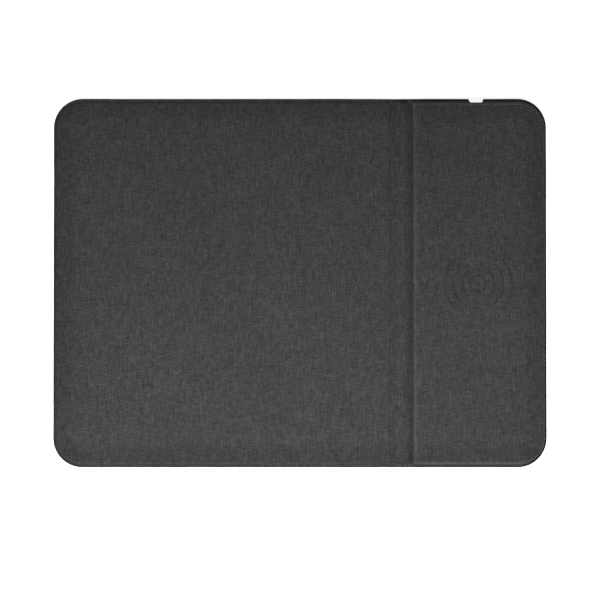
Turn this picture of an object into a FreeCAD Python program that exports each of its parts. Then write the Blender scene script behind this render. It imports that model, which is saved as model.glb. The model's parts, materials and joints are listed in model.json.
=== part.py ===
"""Folding desk mat with a wireless charging module at its right-hand end. Sizes in millimetres.

The mat lies on a desk: +Z is up, +X runs along the mat towards the charging module, and +Y towards the
rear edge, where the USB socket is. The origin is the middle of the underside.

From left to right it is three stiff parts, the mouse mat, a narrow spine and the charging module, joined by
two creases in which only the rubber base and the fabric cover cross. Each crease turns about a line along Y
at the height where base and cover are bonded. The cover and the base are each one sheet on the real mat.
Here they are cut at the creases, so that every node belongs to one rigid part.
"""

import FreeCAD
import Part

import math
import os

from FreeCAD import Vector

# ---- driving dimensions: the whole mat ----
MAT_LENGTH = 270.0
MAT_DEPTH = 202.0
CORNER_R = 16.0
BASE_T = 1.0
FABRIC_T = 0.6
LIP_W = 0.9  # flat pressed border round the spine and the charging module
FRONT_LIP_W = 1.3  # the module's is wider at the front
LIP_INSET = 0.15  # the cover's cut edge stands this far inside the base's

# ---- creases ----
MAT_CREASE_X = 50.8
MODULE_CREASE_X = 60.0
BASE_GAP = 0.3  # half the width of the cut in the base at a crease
CREASE_CORNER_R = 1.5  # corners of the stiff parts at a crease
WEB_GAP = 0.1  # between a crease strip and the covers beside it

# ---- mouse mat ----
MAT_BOARD_T = 1.2
MAT_LIP_W = 1.9  # the mat's pressed border is wider
MAT_WALL_X = MAT_CREASE_X - 1.9  # foot of the mat's wall at the crease
MAT_SHOULDER = 2.6  # from the outline to the flat top
MAT_WALL_LEAN = 0.5

# ---- spine ----
SPINE_BOARD_T = 0.8
SPINE_LEFT_X = MAT_CREASE_X + 0.4
SPINE_RIGHT_X = 58.0
SPINE_SHOULDER = 1.4
SPINE_WALL_LEAN = 0.3

# ---- charging module ----
TRAY_FLOOR_T = 0.8
CAVITY_H = 2.8
LID_T = 0.8
MODULE_WALL_X = MODULE_CREASE_X + 2.0
MODULE_WALL_LEAN = 0.8
MODULE_SHOULDER_REAR = 2.5
MODULE_SHOULDER_FRONT = 2.5
MODULE_SHOULDER_SIDE = 1.6
CREASE_WALL_T = 2.5  # from the wall's foot at the crease to the cavity
SIDE_WALL = 3.4  # from the outline to the cavity, at the right, the front and the rear
FRONT_WALL = 4.2
REAR_WALL = 4.2
CAVITY_R = (3.0, 12.0)  # its left corners, its right corners

# ---- socket and its notch ----
PORT_X = 96.5
NOTCH_MOUTH_W = 8.0
NOTCH_END_W = 7.0
NOTCH_Y = 98.75  # back face of the notch
PORT_W = 7.5
PORT_H = 2.45
PORT_LENGTH = 5.5
PORT_SHEET_T = 0.25
PORT_CHAMFER = 0.9
PORT_MID_Z = 3.12
PORT_CLEARANCE = 0.1
PORT_FOOT_L = 1.15
PORT_FOOT_W = 0.9
PORT_FEET_FROM_REAR = (0.4, 2.0)
INSERT_BLOCK_L = 1.0
TONGUE_W = 3.7
TONGUE_T = 0.55
TONGUE_SET_BACK = 0.7
CONTACT_T = 0.12
CONTACT_W = 0.35
CONTACT_PITCH = 0.65
CONTACT_TAIL_L = 1.0

# ---- coil and its leads ----
COIL_X = 97.5
COIL_TURNS = 10
COIL_OUTER_R = 21.5
COIL_INNER_R = 10.25
COIL_H = 1.2
COIL_WIRE_W = 0.95
FERRITE_SIDE = 50.0
FERRITE_T = 0.8
FERRITE_CORNER_R = 3.0
TAPE_T = 0.1
FOAM_RING_MARGIN = 1.5  # the foam ring is this much narrower than the winding at each edge
LEAD_D = 0.6
LEAD_BEND_R = 0.6
LEAD_END_Y = 68.5  # where the coil's leads are soldered
OUTER_LEAD_DX = -2.1  # the leads' distances from the coil's middle
INNER_LEAD_DX = 3.1
DESCENT = (2.5, 8.5)  # a lead comes down between these distances behind the winding
SENSE_LEAD_D = 0.3
SENSE_BEAD_R = 0.6
SENSE_BEAD_L = 1.8  # without its round ends
SENSE_LEADS_X = (96.6, 97.6)

# ---- circuit board ----
BOARD_X0, BOARD_X1 = 76.0, 117.0
BOARD_Y0, BOARD_Y1 = 66.0, 96.4
BOARD_T = 0.8
BOARD_STANDOFF = 0.5
BOARD_CORNER_R = 1.0
BOARD_SCREW_INSETS = (2.5, 2.5, 3.4)  # from the board's sides, its front and its rear

# ---- casing details ----
BOSS_R = 2.5
BOSS_SPLIT_Z = 3.0  # where the lid's bosses meet the tray's
LID_BOSS_R = 2.0
STANDOFF_R = 2.0
RIB_T = 1.2
CROSS_RIBS_Y = (-74.0, -56.0, -38.0, 38.0, 54.0)
RIB_TO_LID = 0.05
LEAD_GATE = (93.5, 102.5)  # gap across which the coil's leads pass
FRAME_RIB_T = 1.0
FRAME_RIB_H = 0.7
FRAME_CLEARANCE = 0.15

# ---- fasteners ----
LID_SCREW_R = 0.85
LID_SCREW_HEAD_R = 1.6
LID_SCREW_HEAD_H = 0.85
BOARD_SCREW_R = 0.8
BOARD_SCREW_HEAD_R = 1.3
BOARD_SCREW_HEAD_H = 0.6
BOARD_SCREW_TIP_H = 0.3  # above the tray's underside
RECESS_DEPTH = 0.4
RECESS_LENGTH = 0.55  # half the cross recess's length and width, as shares of the head's radius
RECESS_WIDTH = 0.14
PILOT_FIT = 0.02  # pilot holes are this much larger in radius than the threads
HOLE_FIT = 0.15

# ---- worked out from those ----
X0, X1 = -MAT_LENGTH / 2, MAT_LENGTH / 2
Y0, Y1 = -MAT_DEPTH / 2, MAT_DEPTH / 2
LIP_Z = BASE_T + FABRIC_T
MAT_CORE_TOP = BASE_T + MAT_BOARD_T
MAT_TOP = MAT_CORE_TOP + FABRIC_T
SPINE_CORE_TOP = BASE_T + SPINE_BOARD_T
SPINE_TOP = SPINE_CORE_TOP + FABRIC_T
FLOOR_Z = BASE_T + TRAY_FLOOR_T
LID_Z = FLOOR_Z + CAVITY_H
MODULE_CORE_TOP = LID_Z + LID_T
MODULE_TOP = MODULE_CORE_TOP + FABRIC_T
BOARD_Z = FLOOR_Z + BOARD_STANDOFF
BOARD_TOP = BOARD_Z + BOARD_T
TAPE_Z = FLOOR_Z + FERRITE_T
COIL_Z = TAPE_Z + TAPE_T
COIL_TOP = COIL_Z + COIL_H
COIL_PITCH = (COIL_OUTER_R - COIL_INNER_R - COIL_WIRE_W) / (COIL_TURNS - 0.5)
COIL_FIRST_R = COIL_INNER_R + COIL_WIRE_W / 2
# The winding starts and ends on its rear side. These are the middles of its wire there.
COIL_START_Y = COIL_FIRST_R - COIL_PITCH / 4
COIL_END_Y = COIL_FIRST_R + (2 * COIL_TURNS - 1) * COIL_PITCH / 2 + COIL_PITCH / 4
LEAD_Z = BOARD_TOP + LEAD_D / 2
OVER_COIL_Z = (COIL_TOP + LID_Z) / 2
HEAD_Z = BASE_T + 0.05  # lowest face of the lid screws' heads
HEAD_SEAT_Z = HEAD_Z + LID_SCREW_HEAD_H
BOARD_SCREW_TIP_Z = BASE_T + BOARD_SCREW_TIP_H
PORT_FRONT_Y = NOTCH_Y - 0.05
PORT_REAR_Y = PORT_FRONT_Y - PORT_LENGTH
TONGUE_FRONT_Y = PORT_FRONT_Y - TONGUE_SET_BACK
CAVITY = (MODULE_WALL_X + CREASE_WALL_T, X1 - SIDE_WALL, Y0 + FRONT_WALL, Y1 - REAR_WALL)
LID_SCREWS = [(68.5, -91.0), (68.5, 0.0), (68.5, 89.0), (128.0, -84.0), (128.0, 0.0), (128.0, 84.0)]
SIDE_IN, FRONT_IN, REAR_IN = BOARD_SCREW_INSETS
BOARD_SCREWS = [
    (x, y)
    for x in (BOARD_X0 + SIDE_IN, BOARD_X1 - SIDE_IN)
    for y in (BOARD_Y0 + FRONT_IN, BOARD_Y1 - REAR_IN)
]

# Parts on the circuit board: middle x, middle y, length along x, length along y, height.
CONTROLLER = (97.0, 84.0, 6.0, 6.0, 0.85)
BRIDGE = (106.5, 76.5, 5.0, 5.0, 0.85)
INDUCTOR = (106.5, 86.0, 4.0, 4.0, 1.2)
RESONANT_CAPACITORS = [(x, y, 3.2, 1.6, 1.25) for x in (84.5, 89.5) for y in (71.5, 74.5)]
INPUT_CAPACITORS = [(x, 88.5, 2.5, 3.2, 1.25) for x in (84.0, 88.0)]
PASSIVE = (0.5, 1.0, 0.35)  # length along x, length along y, height
PASSIVE_ROWS = [(91.0, 79.0, 7), (92.0, 90.0, 5), (101.5, 72.0, 6), (82.0, 80.0, 4)]  # x, y, how many
PASSIVE_PITCH = 1.7

OUT = "parts"


# ---- helpers ----
def box(x0, x1, y0, y1, z0, z1):
    return Part.makeBox(x1 - x0, y1 - y0, z1 - z0, Vector(x0, y0, z0))


def cylinder(x, y, z0, z1, r):
    return Part.makeCylinder(r, z1 - z0, Vector(x, y, z0))


def arc(cx, cy, r, start_deg, end_deg, z=0.0):
    """Arc about a vertical axis, from one angle to another, anticlockwise."""
    circle = Part.Circle(Vector(cx, cy, z), Vector(0, 0, 1), r)
    return Part.Arc(circle, math.radians(start_deg), math.radians(end_deg)).toShape()


def line(a, b):
    return Part.LineSegment(Vector(*a), Vector(*b)).toShape()


def rounded_wire(x0, x1, y0, y1, z, left_r, right_r):
    """Rectangle with one radius at its left corners and another at its right corners. Either may be zero."""
    edges = [
        line((x0 + left_r, y0, z), (x1 - right_r, y0, z)),
        line((x1, y0 + right_r, z), (x1, y1 - right_r, z)),
        line((x1 - right_r, y1, z), (x0 + left_r, y1, z)),
        line((x0, y1 - left_r, z), (x0, y0 + left_r, z)),
    ]
    if right_r > 0:
        edges.insert(1, arc(x1 - right_r, y0 + right_r, right_r, -90, 0, z))
        edges.insert(3, arc(x1 - right_r, y1 - right_r, right_r, 0, 90, z))
    if left_r > 0:
        edges.insert(-1, arc(x0 + left_r, y1 - left_r, left_r, 90, 180, z))
        edges.append(arc(x0 + left_r, y0 + left_r, left_r, 180, 270, z))
    return Part.Wire(edges)


def prism(wire, height):
    return Part.Face(wire).extrude(Vector(0, 0, height))


def loft(lower, upper):
    return Part.makeLoft([lower, upper], True, True)


def polygon_prism(points, z0, z1):
    wire = Part.makePolygon([Vector(x, y, z0) for x, y in points + points[:1]])
    return prism(wire, z1 - z0)


def union(shapes):
    return shapes[0].multiFuse(shapes[1:]).removeSplitter()


def tube(points, diameter, bend_r):
    """Round lead along straight runs joined by tangent arcs of radius bend_r."""
    corners = [Vector(*p) for p in points]
    edges = []
    start = corners[0]
    for before, corner, after in zip(corners, corners[1:], corners[2:]):
        into = (corner - before).normalize()
        out = (after - corner).normalize()
        half_turn = into.getAngle(out) / 2
        reach = bend_r * math.tan(half_turn)
        a, b = corner - into * reach, corner + out * reach
        middle_out = (out - into).normalize()
        top = corner + middle_out * (bend_r / math.cos(half_turn) - bend_r)
        edges += [Part.LineSegment(start, a).toShape(), Part.Arc(a, top, b).toShape()]
        start = b
    edges.append(Part.LineSegment(start, corners[-1]).toShape())
    path = Part.Wire(edges)
    section = Part.Wire(Part.Circle(corners[0], corners[1] - corners[0], diameter / 2).toShape())
    return path.makePipeShell([section], True, False)


def save(name, solids):
    """One STEP file for a node, holding one or more closed solids."""
    solids = solids if isinstance(solids, list) else [solids]
    flat = [s for shape in solids for s in shape.Solids]
    for s in flat:
        if not s.isValid() or s.Volume <= 0:
            raise ValueError(f"{name} holds a bad solid")
    shape = flat[0] if len(flat) == 1 else Part.makeCompound(flat)
    shape.exportStep(os.path.join(OUT, name + ".step"))
    print(f"{name}: {len(flat)} solid(s), {sum(s.Volume for s in flat):.1f} mm3")


# ---- outlines shared by the layers ----
def base_outline(x0, x1, z, inset=0.0):
    """Outline of the mat between x0 and x1. At either end of the mat it has that end's round corners."""
    left_end, right_end = x0 <= X0, x1 >= X1
    return rounded_wire(
        x0 + (inset if left_end else 0.0),
        x1 - (inset if right_end else 0.0),
        Y0 + inset,
        Y1 - inset,
        z,
        CORNER_R - inset if left_end else 0.0,
        CORNER_R - inset if right_end else 0.0,
    )


def notch():
    """Cutter for the opening in the rear edge where the plug goes in. It passes the mat's faces by 1 mm."""
    past = 1.0
    flare = (NOTCH_MOUTH_W - NOTCH_END_W) / (Y1 - NOTCH_Y)
    mouth_w = NOTCH_MOUTH_W + flare * past
    points = [
        (PORT_X - NOTCH_END_W / 2, NOTCH_Y),
        (PORT_X + NOTCH_END_W / 2, NOTCH_Y),
        (PORT_X + mouth_w / 2, Y1 + past),
        (PORT_X - mouth_w / 2, Y1 + past),
    ]
    return polygon_prism(points, -past, MODULE_TOP + past)


def mat_block(skin, z0, z1):
    """Mouse mat's raised block, skin below its outer surface, between two heights."""
    foot, shoulder = MAT_LIP_W, MAT_SHOULDER
    return sloping_block(
        foot_box=(X0 + foot, MAT_WALL_X, Y0 + foot, Y1 - foot),
        top_box=(X0 + shoulder, MAT_WALL_X - MAT_WALL_LEAN, Y0 + shoulder, Y1 - shoulder),
        rise=MAT_TOP - LIP_Z,
        radii=(CORNER_R - foot, CREASE_CORNER_R),
        top_radii=(CORNER_R - shoulder, CREASE_CORNER_R),
        skin=skin,
        z0=z0,
        z1=z1,
    )


def spine_block(skin, z0, z1):
    foot, shoulder = LIP_W, SPINE_SHOULDER
    return sloping_block(
        foot_box=(SPINE_LEFT_X, SPINE_RIGHT_X, Y0 + foot, Y1 - foot),
        top_box=(
            SPINE_LEFT_X + SPINE_WALL_LEAN,
            SPINE_RIGHT_X - SPINE_WALL_LEAN,
            Y0 + shoulder,
            Y1 - shoulder,
        ),
        rise=SPINE_TOP - LIP_Z,
        radii=(CREASE_CORNER_R, CREASE_CORNER_R),
        top_radii=(CREASE_CORNER_R, CREASE_CORNER_R),
        skin=skin,
        z0=z0,
        z1=z1,
    )


def module_block(skin, z0, z1):
    foot = LIP_W
    return sloping_block(
        foot_box=(MODULE_WALL_X, X1 - foot, Y0 + FRONT_LIP_W, Y1 - foot),
        top_box=(
            MODULE_WALL_X + MODULE_WALL_LEAN,
            X1 - MODULE_SHOULDER_SIDE,
            Y0 + MODULE_SHOULDER_FRONT,
            Y1 - MODULE_SHOULDER_REAR,
        ),
        rise=MODULE_TOP - LIP_Z,
        radii=(CREASE_CORNER_R, CORNER_R - foot),
        top_radii=(CREASE_CORNER_R, CORNER_R - MODULE_SHOULDER_REAR),
        skin=skin,
        z0=z0,
        z1=z1,
    )


def sloping_block(foot_box, top_box, rise, radii, top_radii, skin, z0, z1):
    """Block whose sides lean in straight from foot_box, at the lip's height, to top_box, rise higher. Each
    side stands in by skin. The block is cut off at z0 and z1, so that layers stacked in it share walls."""

    def wire(z):
        t = (z - LIP_Z) / rise
        x0, x1, y0, y1 = (f + (g - f) * t for f, g in zip(foot_box, top_box))
        left_r, right_r = (f + (g - f) * t - skin for f, g in zip(radii, top_radii))
        return rounded_wire(x0 + skin, x1 - skin, y0 + skin, y1 - skin, z, left_r, right_r)

    return loft(wire(z0), wire(z1))


# ---- rubber base ----
def base_sheets():
    """Non-slip base in three parts, cut a little apart at each crease so that they clear when it folds."""
    cuts = {
        "mat_base_sheet": (X0, MAT_CREASE_X - BASE_GAP),
        "spine_base_sheet": (MAT_CREASE_X + BASE_GAP, MODULE_CREASE_X - BASE_GAP),
        "module_base_sheet": (MODULE_CREASE_X + BASE_GAP, X1),
    }
    sheets = {name: prism(base_outline(a, b, 0.0), BASE_T) for name, (a, b) in cuts.items()}
    sheets["module_base_sheet"] = sheets["module_base_sheet"].cut(notch())
    return sheets


# ---- fabric cover ----
def mat_cover():
    lip = prism(base_outline(X0, MAT_WALL_X, BASE_T, LIP_INSET), FABRIC_T)
    outer = mat_block(0.0, LIP_Z, MAT_TOP)
    return union([lip, outer]).cut(mat_block(FABRIC_T, BASE_T, MAT_CORE_TOP))


def spine_cover():
    lip = prism(base_outline(SPINE_LEFT_X, SPINE_RIGHT_X, BASE_T, LIP_INSET), FABRIC_T)
    outer = spine_block(0.0, LIP_Z, SPINE_TOP)
    return union([lip, outer]).cut(spine_block(FABRIC_T, BASE_T, SPINE_CORE_TOP))


def module_cover():
    lip = prism(base_outline(MODULE_WALL_X, X1, BASE_T, LIP_INSET), FABRIC_T)
    outer = module_block(0.0, LIP_Z, MODULE_TOP)
    shell = union([lip, outer]).cut(module_block(FABRIC_T, BASE_T, MODULE_CORE_TOP))
    return shell.cut(notch()).cut(port_opening())


def crease_strips():
    """Cover fabric on the floor of each crease, bonded to the base, which bends when the mat folds."""
    spans = {
        "mat_crease_fabric": (MAT_WALL_X + WEB_GAP, SPINE_LEFT_X - WEB_GAP),
        "module_crease_fabric": (SPINE_RIGHT_X + WEB_GAP, MODULE_WALL_X - WEB_GAP),
    }
    reach = MAT_DEPTH / 2 - LIP_INSET
    return {name: box(a, b, -reach, reach, BASE_T, LIP_Z) for name, (a, b) in spans.items()}


# ---- stiff cores ----
def mat_board():
    return mat_block(FABRIC_T, BASE_T, MAT_CORE_TOP)


def spine_board():
    return spine_block(FABRIC_T, BASE_T, SPINE_CORE_TOP)


# ---- module casing ----
def tray():
    """Lower casing: floor, sloping walls, ribs under the lid, a frame round the ferrite sheet, and bosses."""
    x0, x1, y0, y1 = CAVITY
    body = module_block(FABRIC_T, BASE_T, LID_Z)
    body = body.cut(prism(rounded_wire(x0, x1, y0, y1, FLOOR_Z, *CAVITY_R), CAVITY_H))
    added = [cross_rib(y) for y in CROSS_RIBS_Y]
    added += [ferrite_frame()]
    added += [cylinder(x, y, FLOOR_Z, BOSS_SPLIT_Z, BOSS_R) for x, y in LID_SCREWS]
    added += [cylinder(x, y, FLOOR_Z, BOARD_Z, STANDOFF_R) for x, y in BOARD_SCREWS]
    body = union([body] + added)
    holes = [cylinder(x, y, BASE_T, HEAD_SEAT_Z, LID_SCREW_HEAD_R + HOLE_FIT) for x, y in LID_SCREWS]
    holes += [cylinder(x, y, BASE_T, BOSS_SPLIT_Z, LID_SCREW_R + HOLE_FIT) for x, y in LID_SCREWS]
    holes += [cylinder(x, y, BOARD_SCREW_TIP_Z, BOARD_Z, BOARD_SCREW_R + PILOT_FIT) for x, y in BOARD_SCREWS]
    return body.cut(Part.makeCompound(holes)).cut(notch()).cut(port_opening())


def cross_rib(y):
    """Rib across the tray, just short of the lid. Those behind the coil have a gate for its leads."""
    x0, x1, _, _ = CAVITY
    into_wall = 0.2
    rib = box(x0 - into_wall, x1 + into_wall, y - RIB_T / 2, y + RIB_T / 2, FLOOR_Z, LID_Z - RIB_TO_LID)
    return rib.cut(box(*LEAD_GATE, y - RIB_T, y + RIB_T, FLOOR_Z, LID_Z)) if y > 0 else rib


def ferrite_frame():
    """Low square rib that keeps the ferrite sheet in place."""
    inner = FERRITE_SIDE / 2 + FRAME_CLEARANCE
    outer = inner + FRAME_RIB_T
    z0, z1 = FLOOR_Z, FLOOR_Z + FRAME_RIB_H
    frame = box(COIL_X - outer, COIL_X + outer, -outer, outer, z0, z1)
    return frame.cut(box(COIL_X - inner, COIL_X + inner, -inner, inner, z0, z1))


def port_opening():
    """Hole through the tray's rear wall for the socket, a little larger than its shell."""
    half_w, half_h = PORT_W / 2 + PORT_CLEARANCE, PORT_H / 2 + PORT_CLEARANCE
    y0, y1 = PORT_REAR_Y, NOTCH_Y
    return box(PORT_X - half_w, PORT_X + half_w, y0, y1, PORT_MID_Z - half_h, PORT_MID_Z + half_h)


def lid():
    """Upper casing: the flat plate under the fabric, with a boss for each screw."""
    plate = module_block(FABRIC_T, LID_Z, MODULE_CORE_TOP)
    bosses = [cylinder(x, y, BOSS_SPLIT_Z, LID_Z, LID_BOSS_R) for x, y in LID_SCREWS]
    pilots = [cylinder(x, y, BOSS_SPLIT_Z, LID_Z, LID_SCREW_R + PILOT_FIT) for x, y in LID_SCREWS]
    return union([plate] + bosses).cut(Part.makeCompound(pilots))


def screw(x, y, head_z, seat_z, tip_z, head_r, shank_r):
    """Pan-head screw with a cross recess. Its head lies between head_z and seat_z, and its shank follows."""
    inward = 1 if seat_z > head_z else -1
    head = cylinder(x, y, min(head_z, seat_z), max(head_z, seat_z), head_r)
    shank = cylinder(x, y, min(seat_z, tip_z), max(seat_z, tip_z), shank_r)
    z0, z1 = sorted((head_z, head_z + inward * RECESS_DEPTH))
    a, b = head_r * RECESS_LENGTH, head_r * RECESS_WIDTH
    cross = union([box(x - a, x + a, y - b, y + b, z0, z1), box(x - b, x + b, y - a, y + a, z0, z1)])
    return union([head, shank]).cut(cross)


def lid_screws():
    """Screws driven from below, with their heads under the base sheet."""
    return [screw(x, y, HEAD_Z, HEAD_SEAT_Z, LID_Z, LID_SCREW_HEAD_R, LID_SCREW_R) for x, y in LID_SCREWS]


def board_screws():
    head_z = BOARD_TOP + BOARD_SCREW_HEAD_H
    return [
        screw(x, y, head_z, BOARD_TOP, BOARD_SCREW_TIP_Z, BOARD_SCREW_HEAD_R, BOARD_SCREW_R)
        for x, y in BOARD_SCREWS
    ]


# ---- coil stack ----
def ferrite():
    half, r = FERRITE_SIDE / 2, FERRITE_CORNER_R
    return prism(rounded_wire(COIL_X - half, COIL_X + half, -half, half, FLOOR_Z, r, r), FERRITE_T)


def coil_tape():
    ring = cylinder(COIL_X, 0, TAPE_Z, COIL_Z, COIL_OUTER_R)
    return ring.cut(cylinder(COIL_X, 0, TAPE_Z, COIL_Z, COIL_INNER_R - COIL_WIRE_W))


def coil():
    """Flat spiral winding made of half circles. Each half turn's radius grows by half the pitch, and the left
    and right halves have their centres half a pitch apart, so that they join smoothly."""
    half_w = COIL_WIRE_W / 2
    inner, outer = [], []
    for k in range(2 * COIL_TURNS):
        start, centre_y = (90, -COIL_PITCH / 4) if k % 2 == 0 else (-90, COIL_PITCH / 4)
        r = COIL_FIRST_R + k * COIL_PITCH / 2
        inner.append(arc(0, centre_y, r - half_w, start, start + 180))
        outer.append(arc(0, centre_y, r + half_w, start, start + 180))
    ends = [
        line((0, COIL_START_Y - half_w, 0), (0, COIL_START_Y + half_w, 0)),
        line((0, COIL_END_Y - half_w, 0), (0, COIL_END_Y + half_w, 0)),
    ]
    winding = prism(Part.Wire(inner + [ends[1]] + outer[::-1] + [ends[0]]), COIL_H)
    winding.translate(Vector(COIL_X, 0, COIL_Z))
    return winding


def coil_foam():
    """Foam ring that holds the coil down under the lid, with a gap where leads cross the winding."""
    ring = cylinder(COIL_X, 0, COIL_TOP, LID_Z, COIL_OUTER_R - FOAM_RING_MARGIN)
    ring = ring.cut(cylinder(COIL_X, 0, COIL_TOP, LID_Z, COIL_INNER_R + FOAM_RING_MARGIN))
    return ring.cut(box(*LEAD_GATE, 0, COIL_OUTER_R, COIL_TOP, LID_Z))


def coil_leads():
    """The outer end's lead runs flat to the board. The inner end's climbs over the winding first."""
    outer_x, inner_x = COIL_X + OUTER_LEAD_DX, COIL_X + INNER_LEAD_DX
    climb = (COIL_X + 0.4, COIL_X + 1.9)  # where the inner end's lead starts and ends its climb
    outer = [(COIL_X, COIL_END_Y, LEAD_Z), (outer_x, COIL_END_Y, LEAD_Z), (outer_x, LEAD_END_Y, LEAD_Z)]
    inner = [
        (COIL_X, COIL_START_Y, LEAD_Z),
        (climb[0], COIL_START_Y, LEAD_Z),
        (climb[1], COIL_START_Y, OVER_COIL_Z),
        (inner_x, COIL_START_Y, OVER_COIL_Z),
        (inner_x, COIL_OUTER_R + DESCENT[0], OVER_COIL_Z),
        (inner_x, COIL_OUTER_R + DESCENT[1], LEAD_Z),
        (inner_x, LEAD_END_Y, LEAD_Z),
    ]
    return [tube(outer, LEAD_D, LEAD_BEND_R), tube(inner, LEAD_D, LEAD_BEND_R)]


def thermistor():
    """Bead in the middle of the coil, on the ferrite, and its two thin leads over the coil to the board."""
    bead_x, bead_z, end_y = sum(SENSE_LEADS_X) / 2, TAPE_Z + SENSE_BEAD_R, SENSE_BEAD_L / 2
    barrel = Part.makeCylinder(SENSE_BEAD_R, SENSE_BEAD_L, Vector(bead_x, -end_y, bead_z), Vector(0, 1, 0))
    ends = [Part.makeSphere(SENSE_BEAD_R, Vector(bead_x, y, bead_z)) for y in (-end_y, end_y)]
    bead = union([barrel] + ends)
    on_board_z = BOARD_TOP + SENSE_LEAD_D / 2
    spread = (1.2, 3.0)  # the leads move apart between these distances behind the bead's barrel
    climb = (3.5, 1.5)  # they climb between these distances inside the winding
    leads = []
    for x, side in zip(SENSE_LEADS_X, (-1, 1)):
        foot_x = bead_x + side * (SENSE_BEAD_R - SENSE_LEAD_D)
        points = [
            (foot_x, end_y, bead_z),
            (foot_x, end_y + spread[0], bead_z),
            (x, end_y + spread[1], bead_z),
            (x, COIL_INNER_R - climb[0], bead_z),
            (x, COIL_INNER_R - climb[1], OVER_COIL_Z),
            (x, COIL_OUTER_R + DESCENT[0], OVER_COIL_Z),
            (x, COIL_OUTER_R + DESCENT[1], on_board_z),
            (x, LEAD_END_Y - 1.0, on_board_z),
        ]
        leads.append(tube(points, SENSE_LEAD_D, LEAD_BEND_R).cut(bead))
    return [bead] + leads


# ---- circuit board ----
def main_board():
    """Circuit board, with holes for its screws and a cut-out in its rear edge that the socket sits in."""
    r = BOARD_CORNER_R
    board = prism(rounded_wire(BOARD_X0, BOARD_X1, BOARD_Y0, BOARD_Y1, BOARD_Z, r, r), BOARD_T)
    holes = [cylinder(x, y, BOARD_Z, BOARD_TOP, BOARD_SCREW_R + HOLE_FIT) for x, y in BOARD_SCREWS]
    half_w, rear = PORT_W / 2 + PORT_CLEARANCE, PORT_REAR_Y - 2 * PORT_CLEARANCE
    cut_out = box(PORT_X - half_w, PORT_X + half_w, rear, Y1, BOARD_Z, BOARD_TOP)
    return board.cut(Part.makeCompound(holes + [cut_out]))


def on_board(x, y, length, width, height):
    return box(x - length / 2, x + length / 2, y - width / 2, y + width / 2, BOARD_TOP, BOARD_TOP + height)


def passives():
    spots = [(x + k * PASSIVE_PITCH, y) for x, y, count in PASSIVE_ROWS for k in range(count)]
    return [on_board(x, y, *PASSIVE) for x, y in spots]


# ---- socket ----
def port_section(inset, y0, y1):
    """Solid of the socket's cross-section, whose lower corners are cut off, set in by inset all round."""
    half_w, half_h = PORT_W / 2 - inset, PORT_H / 2 - inset
    cut = PORT_CHAMFER - inset * (2 - math.sqrt(2))
    points = [
        (-half_w, half_h),
        (half_w, half_h),
        (half_w, -half_h + cut),
        (half_w - cut, -half_h),
        (-half_w + cut, -half_h),
        (-half_w, -half_h + cut),
    ]
    corners = [Vector(PORT_X + x, y0, PORT_MID_Z + z) for x, z in points]
    return Part.Face(Part.makePolygon(corners + corners[:1])).extrude(Vector(0, y1 - y0, 0))


def port_shell():
    """Folded metal shell with two feet each side, soldered to the top of the board."""
    shell = port_section(0.0, PORT_REAR_Y, PORT_FRONT_Y)
    shell = shell.cut(port_section(PORT_SHEET_T, PORT_REAR_Y, PORT_FRONT_Y))
    length = PORT_FOOT_L + PORT_SHEET_T
    feet = [
        box(x, x + length, y, y + PORT_FOOT_W, BOARD_TOP, BOARD_TOP + PORT_SHEET_T)
        for x in (PORT_X - PORT_W / 2 - PORT_FOOT_L, PORT_X + PORT_W / 2 - PORT_SHEET_T)
        for y in (PORT_REAR_Y + from_rear for from_rear in PORT_FEET_FROM_REAR)
    ]
    return union([shell] + feet)


def port_contacts():
    """Five flat contacts under the tongue, whose tails lie on the board behind the shell."""
    y0, y1 = PORT_REAR_Y - CONTACT_TAIL_L, TONGUE_FRONT_Y - CONTACT_W
    z0, half_w = BOARD_TOP, CONTACT_W / 2
    middles = [PORT_X + k * CONTACT_PITCH for k in range(-2, 3)]
    return [box(x - half_w, x + half_w, y0, y1, z0, z0 + CONTACT_T) for x in middles]


def port_tongue(contacts):
    """Plastic insert: a block that closes the back of the shell, with the tongue that holds the contacts."""
    block = port_section(PORT_SHEET_T, PORT_REAR_Y, PORT_REAR_Y + INSERT_BLOCK_L)
    z0, half_w = BOARD_TOP + CONTACT_T, TONGUE_W / 2
    tongue = box(PORT_X - half_w, PORT_X + half_w, PORT_REAR_Y, TONGUE_FRONT_Y, z0, z0 + TONGUE_T)
    return union([block, tongue]).cut(Part.makeCompound(contacts))


def main():
    os.makedirs(OUT, exist_ok=True)
    for name, shape in base_sheets().items():
        save(name, shape)
    save("mat_cover", mat_cover())
    save("spine_cover", spine_cover())
    save("module_cover", module_cover())
    for name, shape in crease_strips().items():
        save(name, shape)
    save("mat_board", mat_board())
    save("spine_board", spine_board())
    save("module_tray", tray())
    save("module_lid", lid())
    save("lid_screws", lid_screws())
    save("board_screws", board_screws())
    save("ferrite_sheet", ferrite())
    save("coil_tape", coil_tape())
    save("charging_coil", coil())
    save("coil_foam_ring", coil_foam())
    save("coil_leads", coil_leads())
    save("thermistor", thermistor())
    save("main_board", main_board())
    save("controller_chip", on_board(*CONTROLLER))
    save("bridge_chip", on_board(*BRIDGE))
    save("power_inductor", on_board(*INDUCTOR))
    save("resonant_capacitors", [on_board(*c) for c in RESONANT_CAPACITORS])
    save("input_capacitors", [on_board(*c) for c in INPUT_CAPACITORS])
    save("small_passives", passives())
    save("usb_port_shell", port_shell())
    contacts = port_contacts()
    save("usb_port_contacts", contacts)
    save("usb_port_tongue", port_tongue(contacts))


main()
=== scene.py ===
"""Looks of the folding desk mat with a charging module: its woven cover, rubber base and the parts inside.

The cover and the base are each built as two sheets that meet in the middle of the spine, each sheet over one
crease. Lengths are in millimetres until a mesh is made.
"""

import json
import math

import bpy
import numpy as np
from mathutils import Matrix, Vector, noise


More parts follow.
